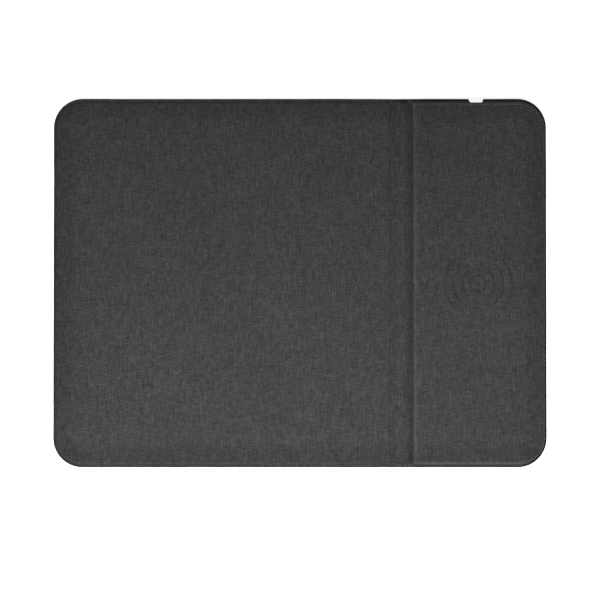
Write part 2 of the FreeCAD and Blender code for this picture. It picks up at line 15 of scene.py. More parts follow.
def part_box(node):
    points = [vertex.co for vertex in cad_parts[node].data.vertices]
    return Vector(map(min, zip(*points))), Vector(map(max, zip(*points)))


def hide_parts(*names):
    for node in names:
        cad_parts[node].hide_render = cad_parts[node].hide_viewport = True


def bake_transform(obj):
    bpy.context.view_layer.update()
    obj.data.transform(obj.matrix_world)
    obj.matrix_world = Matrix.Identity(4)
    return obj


MM = 0.001

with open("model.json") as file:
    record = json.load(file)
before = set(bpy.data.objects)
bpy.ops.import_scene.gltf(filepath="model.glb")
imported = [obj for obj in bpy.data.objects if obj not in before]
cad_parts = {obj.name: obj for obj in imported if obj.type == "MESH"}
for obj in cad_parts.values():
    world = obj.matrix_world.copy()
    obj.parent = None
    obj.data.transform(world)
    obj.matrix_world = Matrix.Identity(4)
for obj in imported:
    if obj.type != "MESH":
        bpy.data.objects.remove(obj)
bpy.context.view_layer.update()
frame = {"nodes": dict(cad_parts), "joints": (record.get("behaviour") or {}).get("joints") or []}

# ---- places, from the frame ----


def corners_mm(node):
    low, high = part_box(node)
    return np.array(low) / MM, np.array(high) / MM


JOINTS = {j["name"]: j for j in frame["joints"]}
MAT_CREASE_X = JOINTS["mat_crease"]["pos_m"][0] / MM
MODULE_CREASE_X = JOINTS["module_crease"]["pos_m"][0] / MM
BASE_T = JOINTS["mat_crease"]["pos_m"][2] / MM
X1 = corners_mm("module_base_sheet")[1][0]
Y1 = corners_mm("module_base_sheet")[1][1]
MAT_TOP = corners_mm("mat_cover")[1][2]
SPINE_TOP = corners_mm("spine_cover")[1][2]
MODULE_TOP = corners_mm("module_cover")[1][2]
MAT_WALL_X = corners_mm("mat_cover")[1][0]
SPINE_X = corners_mm("spine_cover")[0][0], corners_mm("spine_cover")[1][0]
MODULE_WALL_X = corners_mm("module_cover")[0][0]
LIP_Z = corners_mm("mat_crease_fabric")[1][2]
PORT = corners_mm("usb_port_shell")
PORT_X = (PORT[0][0] + PORT[1][0]) / 2
COIL_X = (corners_mm("ferrite_sheet")[0][0] + corners_mm("ferrite_sheet")[1][0]) / 2

CORNER_R = 16.0
CORNER_STEPS = 20
INNER_X, INNER_Y = X1 - CORNER_R, Y1 - CORNER_R  # where the straight edges end and the round corners start
WAY = {False: -1, True: 1}  # along X, from the seam to the end, in the left half and the right half
SEAM_X = (SPINE_X[0] + SPINE_X[1]) / 2  # where the two halves of the cover and of the base meet
COVER_T = 0.5
COVER_EDGE = 0.15  # the cover's cut edge stands this far inside the base's
NOTCH_DEPTH = 2.25  # in the rear edge, for the charging lead's plug
NOTCH_HALF_W = (3.5, 4.0)  # at its back and at its mouth

# ---- shape of the cover ----
# A foot is where the cover's lip meets a block's wall, and a shoulder is the wall's upper edge. Each is given
# by its distance in from the outline, and the module's for its right, rear and front sides.
EDGE_TOP = 1.45  # height of the cover's cut edge
EDGE_STEPS = 5  # round each bend of the cover's edge
MAT_LIP = (1.95, 2.2)  # distance in, and height, of the line pressed round the mat
MAT_SHOULDER = 2.55
SPINE_FOOT = 0.9
SPINE_SHOULDER = 1.6
MODULE_FEET = (0.9, 1.1, 1.5)
MODULE_SHOULDERS = (1.6, 2.9, 2.8)
MODULE_ROUNDING = (0.8, 0.35, 0.9)  # over how much of each shoulder's sides it is rounded
WALL_LEAN = {"mat": 0.5, "spine": 1.2, "module": 0.4}  # of the walls along the creases
WAVE = 0.13  # how far the outline wanders
RIM_PAINTED_SHADE = 0.42  # how much painted shade darkens the cloth towards the outline
RIM_FULL = 5.0  # distance in within which it is that much lower
# painted shade on the cover's lip round the outline
LIP_PAINTED_SHADE = -0.35
REAR_LIP_PAINTED_LIGHT, SIDE_LIP_PAINTED_SHADE, CORNER_LIP_PAINTED_SHADE = 4.9, -1.2, -0.5  # painted light at the rear, where the block's shadow falls on the lip, and painted shade at the sides and corners, added to it where the block stands high
RAISED_FULL = 3.0  # height over the lip from which a block counts as high


def smooth(t):
    t = np.clip(t, 0.0, 1.0)
    return t * t * (3 - 2 * t)


def soft_path(corners, reaches, arc_steps, between):
    """Points along straight runs whose corners are rounded over each corner's reach. between has, for each
    run, how many points divide it. Returns the points, and for each its turn: 1 in the middle of a rounded
    corner, falling to 0 at the corner's ends and on the runs."""
    corners = [np.array(c, float) for c in corners]
    starts, ends = [corners[0]], []
    bends = []
    for before, corner, after, reach in zip(corners, corners[1:], corners[2:], reaches):
        into, out = before - corner, after - corner
        a = corner + into * min(0.45, reach / np.linalg.norm(into))
        b = corner + out * min(0.45, reach / np.linalg.norm(out))
        ends.append(a)
        starts.append(b)
        steps = np.linspace(0, 1, arc_steps + 1)[:, None]
        bends.append((1 - steps) ** 2 * a + 2 * steps * (1 - steps) * corner + steps**2 * b)
    ends.append(corners[-1])
    points, turn = [], []
    for i, (start, end, count) in enumerate(zip(starts, ends, between)):
        # the last run's points stand closest together at its start
        steps = np.linspace(0, 1, count + 2)[:, None] ** (2 if i == len(starts) - 1 else 1)
        run = start + (end - start) * steps
        first = 0 if i == 0 else 1
        last = None if i == len(starts) - 1 else -1
        points.append(run[first:last])
        turn.append(np.zeros(len(points[-1])))
        if i < len(bends):
            points.append(bends[i])
            turn.append(1 - np.abs(np.linspace(-1, 1, arc_steps + 1)) ** 2)
    return np.concatenate(points), np.concatenate(turn)


def lengths(points):
    return np.concatenate([[0.0], np.cumsum(np.linalg.norm(np.diff(points, axis=0), axis=1))])


def wander(x, y, scale, seed):
    return noise.noise(Vector((x / scale, y / scale, seed)))


# ---- cross-section through the creases, from left to right ----
CREASE_SECTION = [
    (-INNER_X, MAT_TOP),
    (MAT_WALL_X - WALL_LEAN["mat"], MAT_TOP),
    (MAT_WALL_X + 0.5, LIP_Z),
    (SPINE_X[0] - 0.1, LIP_Z),
    (SPINE_X[0] + WALL_LEAN["spine"], SPINE_TOP),
    (SPINE_X[1] - 0.2, SPINE_TOP),
    (SPINE_X[1] + 0.8, LIP_Z),
    (MODULE_WALL_X - 0.35, LIP_Z),
    (MODULE_WALL_X + WALL_LEAN["module"], MODULE_TOP),
    (INNER_X, MODULE_TOP),
]
# x and painted light of the lines along the creases: painted highlights on the walls, painted shade in the
# grooves
CREASE_PAINTED_LIGHT = [
    (MAT_WALL_X - 1.0, 0.0),
    (MAT_WALL_X - 0.4, 0.7),
    (MAT_WALL_X + 0.3, 0.8),
    (MAT_WALL_X + 0.7, -0.2),
    (SPINE_X[0] + 0.8, -0.2),
    (SPINE_X[0] + 2.3, 0.0),
    (SPINE_X[1] - 0.5, 0.0),
    (SPINE_X[1] + 0.3, 0.3),
    (SPINE_X[1] + 0.9, 0.0),
    (SPINE_X[1] + 1.5, -0.65),
    (MODULE_WALL_X - 0.5, -0.65),
    (MODULE_WALL_X - 0.2, 1.2),
    (MODULE_WALL_X + 0.2, 2.2),
    (MODULE_WALL_X + 0.6, 1.4),
    (MODULE_WALL_X + 1.1, 0.2),
    (MODULE_WALL_X + 1.8, 0.0),
]
CREASE_REACHES = (0.8, 0.3, 0.5, 1.2, 0.9, 0.6, 0.35, 0.6)  # of the section's corners, as in soft_path
GRID_STEP = 3.0  # the longest side of a face in the cover's flat parts
GRID_FROM = {False: 40.0, True: 70.0}  # x from which each half has such faces, away from the creases


def block_at(x):
    """Which stiff part is at x: 0 the mat, 1 the spine, 2 the module."""
    return 0 if x < MAT_CREASE_X else 1 if x < MODULE_CREASE_X else 2


def edge_profile(x, top, side, steps):
    """Section of the cover from its cut edge inwards to CORNER_R, as (distance in, height) points, at x along
    the mat where the cover's flat height is top. side has the outline's shares that face the mat's end, its
    rear and its front. Returns the points and their turns."""
    block = block_at(x)
    if block == 0:
        rise = (top - LIP_Z) / (MAT_TOP - LIP_Z)
        foot = (MAT_LIP[0], LIP_Z + (MAT_LIP[1] - LIP_Z) * rise)
        shoulder = MAT_SHOULDER
        reach = 0.35
    elif block == 1:
        foot, shoulder, reach = (SPINE_FOOT, LIP_Z), SPINE_SHOULDER, 0.5
    else:
        foot = (sum(w * d for w, d in zip(side, MODULE_FEET)), LIP_Z)
        shoulder = sum(w * d for w, d in zip(side, MODULE_SHOULDERS))
        reach = sum(w * d for w, d in zip(side, MODULE_ROUNDING))
    corners = [(COVER_EDGE, BASE_T), (COVER_EDGE, EDGE_TOP), foot, (shoulder, top), (CORNER_R, top)]
    return soft_path(corners, (0.25, 0.3, reach), steps, (1, 2, 4, 7))


class Sheet:
    """Outer surface of a sheet, gathered patch by patch. Each vertex has a place, a place in the unrolled
    cloth, and a painted light value: above 0 a painted highlight, below 0 painted shade."""

    def __init__(self):
        self.places, self.cloth, self.tones, self.faces = [], [], [], []
        self.count = 0

    def add(self, places, cloth, tones, mirrored):
        rows, columns = places.shape[:2]
        index = np.arange(rows * columns).reshape(rows, columns) + self.count
        quads = np.stack([index[:-1, :-1], index[1:, :-1], index[1:, 1:], index[:-1, 1:]], -1).reshape(-1, 4)
        self.faces.append(quads[:, ::-1] if mirrored else quads)
        self.places.append(places.reshape(-1, 3))
        self.cloth.append(cloth.reshape(-1, 2))
        self.tones.append(tones.reshape(-1))
        self.count += rows * columns

    def merged(self):
        """Places, cloth places, painted light and shade, and faces, with the patches' shared edges joined."""
        places = np.concatenate(self.places)
        keys = np.round(places / 0.002 + 0.25).astype(np.int64)  # keeps round places clear of a tie
        _, first, group = np.unique(keys, axis=0, return_index=True, return_inverse=True)
        group = group.reshape(-1)
        cloth, tones = np.concatenate(self.cloth)[first], np.concatenate(self.tones)[first]
        faces = []
        for face in group[np.concatenate(self.faces)]:
            ring = [v for i, v in enumerate(face) if v != face[i - 1]]
            if len(ring) > 2:
                faces.append(ring)
        return places[first], cloth, tones, faces


def outline_wave(x, y):
    return WAVE * wander(x, y, 34.0, 3.1) + 0.4 * WAVE * wander(x, y, 9.0, 7.7)


def notch_depth(x):
    """How far in the rear edge stands at x, because of the notch."""
    away = abs(x - PORT_X)
    inner, outer = NOTCH_HALF_W
    return NOTCH_DEPTH * float(np.clip((outer - away) / (outer - inner), 0, 1)) if away < outer else 0.0


def corner_shift(x, depth):
    """How far a crease wall moves sideways near the front and rear edges, which rounds the block's corner.
    Each wall has its x, the way into its block, and how far in it takes the cloth along."""
    r = 1.4
    left = max(0.0, r - max(0.0, depth - SPINE_FOOT))
    bow = r - math.sqrt(max(0.0, r * r - left * left))
    walls = [
        (MODULE_WALL_X, 1.0, 4.0),
        (SPINE_X[1] + 0.2, -1.0, 3.0),
        (SPINE_X[0] + 0.2, 1.0, 3.0),
        (MAT_WALL_X, -1.0, 4.0),
    ]
    shift = 0.0
    for wall_x, way, fade in walls:
        inside = (x - wall_x) * way
        if -0.3 < inside < fade:
            weight = smooth((inside + 0.3) / 0.3) if inside < 0 else 1 - smooth(inside / fade)
            shift += way * bow * float(weight)
    return shift


def station_places(origin, inward, profile, x_shift):
    """Places along a profile that runs inwards from a point of the outline."""
    wave = outline_wave(*origin) * (1 - smooth(profile[:, 0] / 7.0))
    flat = np.array(origin) + np.outer(profile[:, 0] + wave, inward)
    flat[:, 0] += x_shift
    return np.column_stack([flat, profile[:, 1]])


def cover_tones(profile, turn, x, top, side):
    """Painted light and shade along the section of the cover's edge at x."""
    block, at_side, facing_rear = block_at(x), side[0], side[1]
    raised = min(1.0, (top - LIP_Z) / RAISED_FULL)
    # the rounded points that aren't the cut edge's: the foot's, and then the shoulder's
    arcs = np.flatnonzero((profile[:, 0] > 0.5) & (turn > 0))
    foot, shoulder = arcs[: len(arcs) // 2], arcs[len(arcs) // 2 :]
    tone = np.zeros(len(turn))
    at_corner = 4 * at_side * (1 - at_side)
    # painted shade on the lip, with painted light at the rear where the block's shadow falls, and more
    # painted shade at the sides and corners
    added = REAR_LIP_PAINTED_LIGHT * facing_rear + SIDE_LIP_PAINTED_SHADE * at_side + CORNER_LIP_PAINTED_SHADE * at_corner
    tone[: foot[0]] = LIP_PAINTED_SHADE + added * raised**2
    # painted shade in the crease at the wall's foot, turned to painted light at the mat's rear, and deeper at
    # the ends where the block stands high
    foot_painted_light = -0.3 + 1.3 * facing_rear + 0.8 * at_side if block == 0 else -0.8
    tone[foot] = foot_painted_light * min(1.0, top - LIP_Z) * turn[foot] - 0.9 * at_side * raised
    # painted shade on the walls that face the rear and the ends, away from the lamp
    tone[foot[-1] : shoulder[0]] -= (0.9 * facing_rear + 0.6 * at_side) * raised**2
    if block == 2:  # the shoulder gets a painted highlight, strongest at the rear
        painted_light_level = np.linspace(0.1, 1.0, len(shoulder)) * facing_rear + turn[shoulder] * (1 - facing_rear)
        tone[shoulder] = (0.45 + 1.15 * facing_rear) * painted_light_level * raised
        # a thin painted highlight just past the rear shoulder
        tone[shoulder[-1] + 1 : shoulder[-1] + 3] += 1.1 * facing_rear * raised
    else:
        # a faint painted highlight on the mat's and the spine's shoulders
        tone[shoulder] = (0.25, 0.1)[block] * turn[shoulder]
        # painted shade along the rear edge, deepening towards the spine
        outer = profile[:, 0] < 2.6
        tone[outer] += facing_rear * np.interp(x, [MAT_CREASE_X - 2, SPINE_X[1]], [0.0, -0.9])
    # painted shade towards the outline, more at the corners, most at the front ones
    outwards = 1 - smooth((profile[:, 0] - RIM_FULL) / (CORNER_R - RIM_FULL))
    tone -= RIM_PAINTED_SHADE * (1 + (0.3 + side[2]) * at_corner) * outwards
    return tone


def notched(profile, depth):
    """The section of the rear edge, moved in by the notch's depth and lifted clear of the socket."""
    lowest = PORT[1][2] + 0.12
    fade = smooth((depth / NOTCH_DEPTH - 0.55) / 0.4)
    floor_z = BASE_T + (lowest - BASE_T) * float(fade)
    within = profile[:, 0] < depth + COVER_EDGE
    profile = profile.copy()
    profile[within, 1] = np.maximum(profile[within, 1], floor_z)
    profile[:, 0] = np.maximum(profile[:, 0], depth + COVER_EDGE * 0.3)
    return profile


def cover_profile(x, top, side, at_rear):
    """Section of the cover's edge at x, with the notch if it is there, and its painted light and shade."""
    profile, turn = edge_profile(x, top, side, EDGE_STEPS)
    tone = cover_tones(profile, turn, x, top, side)
    if at_rear and notch_depth(x) > 0:
        profile = notched(profile, notch_depth(x))
    return profile, tone


# ---- the pictogram pressed over the coil ----
DOT_R = 1.35
RING_R = 4.35
ARCS = ((8.8, 50.0), (13.7, 49.0), (18.4, 47.0))  # radius, and degrees to each side of the X axis
LINE_HALF_W, LINE_SOFT = 0.56, 0.42
DENT_DEPTH = 0.32
# painted shade in the pictogram's dents
DENT_PAINTED_SHADE = -0.32
PATCH_HALF = 21.0  # half the side of the square of cover that holds the pictogram
PATCH_STEPS = 48  # along each side of it


def dented(x, y):
    """How deep the pictogram is pressed at x, y: a ring with a dot in it, and arcs on either side."""
    dx = x - COIL_X
    r, angle = math.hypot(dx, y), abs(math.degrees(math.atan2(y, abs(dx))))

    def groove(past_edge):
        return 1 - smooth(past_edge / LINE_SOFT + 0.5)

    depth = max(groove(r - DOT_R), groove(abs(r - RING_R) - LINE_HALF_W))
    for arc_r, half_angle in ARCS:
        across = abs(r - arc_r)
        along = max(0.0, math.radians(angle - half_angle) * arc_r)
        depth = max(depth, groove(math.hypot(across, along) - LINE_HALF_W))
    return float(depth)


def graded(points, most):
    """points, with more put between them so that no step is over most."""
    out = [points[0]]
    for a, b in zip(points, points[1:]):
        steps = max(1, math.ceil(abs(b - a) / most))
        out += list(a + (b - a) * np.arange(1, steps + 1) / steps)
    return np.array(out)


def section_lines(right):
    """x, height, unrolled place and painted light of each line along Y across one half of the mat."""
    points, _ = soft_path(CREASE_SECTION, CREASE_REACHES, 5, (0, 2, 2, 2, 6, 2, 4, 4, 0))
    unrolled = lengths(points)
    seam = np.interp(SEAM_X, points[:, 0], unrolled)
    if right:
        keep = points[:, 0] > SEAM_X + 0.3
        xs = np.concatenate([[SEAM_X], points[keep, 0]])
        square = COIL_X - PATCH_HALF, COIL_X + PATCH_HALF
        flat_from = MODULE_WALL_X + WALL_LEAN["module"] + 1.0
        inner = xs[xs < flat_from]
        rest = [inner[-1], GRID_FROM[right], square[0], *np.linspace(*square, PATCH_STEPS + 1)[1:], INNER_X]
        xs = np.concatenate([inner[:-1], graded(rest, GRID_STEP)])
    else:
        keep = points[:, 0] < SEAM_X - 0.3
        xs = np.concatenate([points[keep, 0], [SEAM_X]])
        outer = xs[xs > MAT_WALL_X - 3.0]
        xs = np.concatenate([graded([-INNER_X, GRID_FROM[right], outer[0]], GRID_STEP)[:-1], outer])[::-1]
    heights = np.interp(xs, points[:, 0], points[:, 1])
    return xs, heights, np.interp(xs, points[:, 0], unrolled) - seam, np.interp(xs, *zip(*CREASE_PAINTED_LIGHT))


def end_weights(angle):
    """Shares of a stretch of outline that faces the mat's end, its rear and its front."""
    across, along = math.cos(angle) ** 2, math.sin(angle) ** 2
    return (across, along, 0.0) if math.sin(angle) > 0 else (across, 0.0, along)


def corner_stations(facing, right):
    """Angle, direction outwards and point of the outline, at each step round a corner."""
    centre = np.array([WAY[right] * INNER_X, facing * INNER_Y])
    for step in np.linspace(0, 1, CORNER_STEPS + 1):
        angle = facing * math.pi / 2 * (1 - step)
        direction = np.array([WAY[right] * math.cos(angle), math.sin(angle)])
        yield angle, direction, centre + direction * CORNER_R


def build_cover(right):
    """One half of the cover's outer surface."""
    sheet = Sheet()
    lines, ys = section_lines(right), cover_rows(right)
    end_u = lines[2][-1]
    for facing in (-1, 1):
        add_long_edge(sheet, *lines, facing, right)
    for facing in (-1, 1):
        add_corner(sheet, end_u, facing, right)
    add_end(sheet, end_u, ys, right)
    add_middle(sheet, *lines, ys, right)
    return sheet.merged()


def add_long_edge(sheet, xs, heights, unrolled, line_tones, facing, right):
    """Strip along the front, with facing -1, or along the rear, with facing 1."""
    places, cloth, tones = [], [], []
    for x, top, u, line_painted_light in zip(xs, heights, unrolled, line_tones):
        profile, tone = cover_profile(x, top, end_weights(facing * math.pi / 2), facing > 0)
        shifts = np.array([corner_shift(x, d) for d in profile[:, 0]])
        places.append(station_places((x, facing * Y1), (0, -facing), profile, shifts))
        out = lengths(profile[::-1])[::-1]
        cloth.append(np.column_stack([u + shifts, facing * (INNER_Y + out)]))
        # the creases' painted light and shade, faded out towards the outline
        fade = smooth((profile[:, 0] - 1.5) / 2.0)
        tones.append(tone + line_painted_light * fade)
    sheet.add(np.array(places), np.array(cloth), np.array(tones), facing * WAY[right] > 0)


def add_corner(sheet, end_u, facing, right):
    """Round corner at the front or the rear."""
    top = MODULE_TOP if right else MAT_TOP
    places, cloth, tones = [], [], []
    for angle, direction, point in corner_stations(facing, right):
        profile, tone = cover_profile(WAY[right] * INNER_X, top, end_weights(angle), False)
        places.append(station_places(point, -direction, profile, 0.0))
        out = lengths(profile[::-1])[::-1]
        cloth.append(np.array([end_u, facing * INNER_Y]) + np.outer(out, direction))
        tones.append(tone)
    sheet.add(np.array(places), np.array(cloth), np.array(tones), facing * WAY[right] > 0)


def add_end(sheet, end_u, ys, right):
    """Strip along the mat's end."""
    top, way = MODULE_TOP if right else MAT_TOP, WAY[right]
    places, cloth, tones = [], [], []
    for y in ys:
        profile, tone = cover_profile(way * INNER_X, top, end_weights(0.0), False)
        places.append(station_places((way * X1, y), (-way, 0), profile, 0.0))
        out = lengths(profile[::-1])[::-1]
        cloth.append(np.column_stack([end_u + way * out, np.full(len(out), y)]))
        tones.append(tone)
    sheet.add(np.array(places), np.array(cloth), np.array(tones), not right)


def cover_rows(right):
    """y of each line along X in the middle of the cover."""
    if right:
        square = np.linspace(-PATCH_HALF, PATCH_HALF, PATCH_STEPS + 1)
        upper = graded([PATCH_HALF, INNER_Y], GRID_STEP)[1:]
        return np.concatenate([-upper[::-1], square, upper])
    return graded([-INNER_Y, INNER_Y], GRID_STEP)


def add_middle(sheet, xs, heights, unrolled, line_tones, ys, right):
    """The cover's middle, as one grid, or as the grid round the pictogram's square and then the square."""

    def block(columns, rows):
        grid_x, grid_y = np.meshgrid(xs[columns], ys[rows], indexing="ij")
        shape = grid_x.shape
        z = np.broadcast_to(heights[columns][:, None], shape)
        u = np.broadcast_to(unrolled[columns][:, None], shape)
        tone = np.broadcast_to(line_tones[columns][:, None], shape)
        sheet.add(np.stack([grid_x, grid_y, z], -1), np.stack([u, grid_y], -1), tone, not right)

    if not right:
        block(slice(None), slice(None))
        return
    first = int(np.argmin(abs(xs - (COIL_X - PATCH_HALF))))
    last = first + PATCH_STEPS
    low = int(np.argmin(abs(ys + PATCH_HALF)))
    high = low + PATCH_STEPS
    block(slice(None, first + 1), slice(None))
    block(slice(last, None), slice(None))
    block(slice(first, last + 1), slice(None, low + 1))
    block(slice(first, last + 1), slice(high, None))
    add_pictogram(sheet, unrolled[first])


def add_pictogram(sheet, first_u):
    """Round grid with the pictogram pressed into it, which widens to the square's border."""
    side = np.linspace(-1, 1, PATCH_STEPS + 1)[:-1]
    border = np.concatenate(
        [
            np.column_stack([side, np.full(PATCH_STEPS, -1.0)]),
            np.column_stack([np.full(PATCH_STEPS, 1.0), side]),
            np.column_stack([-side, np.full(PATCH_STEPS, 1.0)]),
            np.column_stack([np.full(PATCH_STEPS, -1.0), -side]),
        ]
    )
    border = np.vstack([border, border[:1]]) * PATCH_HALF
    away = np.linalg.norm(border, axis=1)
    # rings of points close together at the dot's rim and at both edges of every line
    lines = [RING_R] + [r for r, _ in ARCS]
    near = [-1.15, -0.85, -0.7, -0.55, -0.42, -0.25, 0.0, 0.25, 0.42, 0.55, 0.7, 0.85, 1.15]
    radii = [0.3, 0.8, 1.1, 1.25, 1.4, 1.55, 1.75, 2.3] + [r + step for r in lines for step in near]
    radii = graded(sorted(radii + [PATCH_HALF - 0.7]), 1.1)
    rings = [border / away[:, None] * r for r in radii] + [border]
    places, cloth, tones = [], [], []
    for ring in [border * 0.0] + rings:
        depth = np.array([dented(COIL_X + x, y) for x, y in ring])
        places.append(np.column_stack([COIL_X + ring[:, 0], ring[:, 1], MODULE_TOP - DENT_DEPTH * depth]))
        cloth.append(np.column_stack([first_u + PATCH_HALF + ring[:, 0], ring[:, 1]]))
        # painted shade, deepest in the dents
        tones.append(DENT_PAINTED_SHADE * depth)
    sheet.add(np.array(places), np.array(cloth), np.array(tones), False)


def thicken(places, faces, thickness, floor_z):
    """Inner surface and rim for an outer surface. Returns all places and all faces."""
    normals = np.zeros_like(places)
    for face in faces:
        a, b, c, d = places[face[0]], places[face[1]], places[face[2]], places[face[-1]]
        normal = np.cross(c - a, d - b) if len(face) > 3 else np.cross(b - a, c - a)
        normals[face] += normal
    normals /= np.maximum(np.linalg.norm(normals, axis=1), 1e-9)[:, None]
    inner = places - normals * thickness
    inner[:, 2] = np.maximum(inner[:, 2], floor_z)
    count = len(places)
    edges = {}
    for face in faces:
        for a, b in zip(face, face[1:] + face[:1]):
            edges[(a, b)] = True
    rim = [(b, a, a + count, b + count) for a, b in edges if (b, a) not in edges]
    below = [[v + count for v in reversed(face)] for face in faces]
    return np.vstack([places, inner]), list(faces) + below + rim


SHARP_DEG = 50


def mesh_object(name, places, faces, attributes):
    """Object from places in millimetres, with smooth shading and float or vector attributes by vertex."""
    mesh = bpy.data.meshes.new(name)
    mesh.from_pydata((np.asarray(places) * MM).tolist(), [], [list(map(int, f)) for f in faces])
    for key, values in attributes.items():
        kind, field = ("FLOAT", "value") if values.ndim == 1 else ("FLOAT_VECTOR", "vector")
        attribute = mesh.attributes.new(key, kind, "POINT")
        attribute.data.foreach_set(field, values.astype(np.float32).ravel())
    mesh.validate()
    mesh.polygons.foreach_set("use_smooth", [True] * len(mesh.polygons))
    mesh.set_sharp_from_angle(angle=math.radians(SHARP_DEG))
    mesh.update()
    piece = bpy.data.objects.new(name, mesh)
    bpy.context.scene.collection.objects.link(piece)
    return piece


# ---- materials ----
class Nodes:
    """A material's nodes, with short calls for the ones used here."""

    def __init__(self, name):
        self.material = bpy.data.materials.new(name)
        self.material.use_nodes = True
        self.tree = self.material.node_tree
        self.shader = self.tree.nodes["Principled BSDF"]

    def add(self, kind, **values):
        node = self.tree.nodes.new(kind)
        for key, value in values.items():
            setattr(node, key, value)
        return node

    def feed(self, socket, value):
        if isinstance(value, bpy.types.NodeSocket):
            self.tree.links.new(value, socket)
        else:
            socket.default_value = value

    def math(self, operation, a, b=None, c=None):
        node = self.add("ShaderNodeMath", operation=operation)
        for socket, value in zip(node.inputs, (a, b, c)):
            if value is not None:
                self.feed(socket, value)
        return node.outputs[0]

    def split(self, vector):
        node = self.add("ShaderNodeSeparateXYZ")
        self.feed(node.inputs[0], vector)
        return node.outputs

    def join(self, x, y, z=0.0):
        node = self.add("ShaderNodeCombineXYZ")
        for socket, value in zip(node.inputs, (x, y, z)):
            self.feed(socket, value)
        return node.outputs[0]

    def attribute(self, name):
        return self.add("ShaderNodeAttribute", attribute_name=name)

    def place(self):
        """Place in millimetres, at rest."""
        node = self.add("ShaderNodeVectorMath", operation="SCALE")
        self.feed(node.inputs[0], self.add("ShaderNodeTexCoord").outputs["Object"])
        node.inputs["Scale"].default_value = 1 / MM
        return node.outputs[0]

    def noise(self, vector, scale, detail=2.0, dimensions="3D", roughness=0.5):
        node = self.add("ShaderNodeTexNoise", noise_dimensions=dimensions)
        self.feed(node.inputs["Vector"], vector)
        node.inputs["Scale"].default_value = scale
        node.inputs["Detail"].default_value = detail
        node.inputs["Roughness"].default_value = roughness
        return node.outputs["Fac"]

    def ramp(self, value, *stops):
        """Colour ramp. Each stop is (place, colour), the colour as a number or three."""
        node = self.add("ShaderNodeValToRGB")
        elements = node.color_ramp.elements
        while len(elements) < len(stops):
            elements.new(0.5)
        for element, (at, colour) in zip(elements, stops):
            element.position = at
            rgb = (colour,) * 3 if isinstance(colour, (int, float)) else colour
            element.color = (*rgb, 1.0)
        self.feed(node.inputs[0], value)
        return node.outputs[0]

    def mix(self, factor, a, b, blend="MIX"):
        node = self.add("ShaderNodeMix", data_type="RGBA", blend_type=blend)
        self.feed(node.inputs[0], factor)
        self.feed(node.inputs[6], a if isinstance(a, bpy.types.NodeSocket) else (*a, 1.0))
        self.feed(node.inputs[7], b if isinstance(b, bpy.types.NodeSocket) else (*b, 1.0))
        return node.outputs[2]

    def scaled(self, colour, factor):
        node = self.add("ShaderNodeVectorMath", operation="SCALE")
        self.feed(node.inputs[0], colour)
        self.feed(node.inputs["Scale"], factor)
        return node.outputs[0]

    def bump(self, height, distance_mm, strength=1.0):
        node = self.add("ShaderNodeBump")
        node.inputs["Strength"].default_value = strength
        node.inputs["Distance"].default_value = distance_mm * MM
        self.feed(node.inputs["Height"], height)
        self.feed(self.shader.inputs["Normal"], node.outputs[0])

    def surface(self, **values):
        for key, value in values.items():
            self.feed(self.shader.inputs[key.replace("_", " ")], value)


THREAD_PITCH = 0.46
WARP_SLUB, WEFT_SLUB = 6.5, 3.8  # how long a pale or dark stretch is, along Y and along X
THREAD_DRIFT, THREAD_JITTER = 1.6, 0.5  # how far a thread wanders, over a long and a short stretch
YARN_SHADES = ((0.18, 0.28), (0.40, 0.73), (0.57, 1.14), (0.70, 1.6), (0.84, 2.2))  # by the noise's value
CLOTH_COLOUR = (0.0466, 0.0465, 0.0493)
PAINTED_LIGHT_STRENGTH = 0.42  # share by which painted light of 1 lightens the cloth
RAMP_TOP = 4.0  # the ramps hold a quarter of each shade, because a ramp ends at 1


def thread_numbers(n, cloth, u, v):
    """Number of the thread along Y and of the thread along X at u, v, with fractions. The threads wander."""
    drift_u = n.math("MULTIPLY_ADD", n.noise(cloth, 0.11, 3.0, "2D"), THREAD_DRIFT, u)
    drift_v = n.math("MULTIPLY_ADD", n.noise(n.join(v, u), 0.13, 3.0, "2D"), THREAD_DRIFT, v)
    slack_u = n.noise(n.join(u, n.math("MULTIPLY", v, 0.08)), 1.1, 1.0, "2D")
    slack_v = n.noise(n.join(v, n.math("MULTIPLY", u, 0.08)), 1.3, 1.0, "2D")
    jitter_u = n.math("MULTIPLY_ADD", slack_u, THREAD_JITTER, drift_u)
    jitter_v = n.math("MULTIPLY_ADD", slack_v, THREAD_JITTER, drift_v)
    return n.math("DIVIDE", jitter_u, THREAD_PITCH), n.math("DIVIDE", jitter_v, THREAD_PITCH)


def plain_weave(n, a, b, thread_a, thread_b):
    """Height of the weave at thread numbers a and b, and 1 where the thread along Y is on top."""
    off_a = n.math("SUBTRACT", n.math("FRACT", a), 0.5)
    off_b = n.math("SUBTRACT", n.math("FRACT", b), 0.5)
    # +1 where the thread along Y is on top, -1 where the thread along X is
    parity = n.math("PINGPONG", n.math("ADD", thread_a, thread_b), 1.0)
    over = n.math("MULTIPLY_ADD", parity, 2.0, -1.0)
    round_a = n.math("MULTIPLY_ADD", n.math("MULTIPLY", off_a, off_a), -3.4, 1.0)
    round_b = n.math("MULTIPLY_ADD", n.math("MULTIPLY", off_b, off_b), -3.4, 1.0)
    arch_a = n.math("COSINE", n.math("MULTIPLY", off_a, math.pi))
    arch_b = n.math("COSINE", n.math("MULTIPLY", off_b, math.pi))
    warp = n.math("MULTIPLY", round_a, n.math("MULTIPLY_ADD", n.math("MULTIPLY", over, arch_b), 0.5, 0.5))
    weft = n.math("MULTIPLY", round_b, n.math("MULTIPLY_ADD", n.math("MULTIPLY", over, arch_a), -0.5, 0.5))
    return n.math("MAXIMUM", warp, weft), n.math("GREATER_THAN", warp, weft)


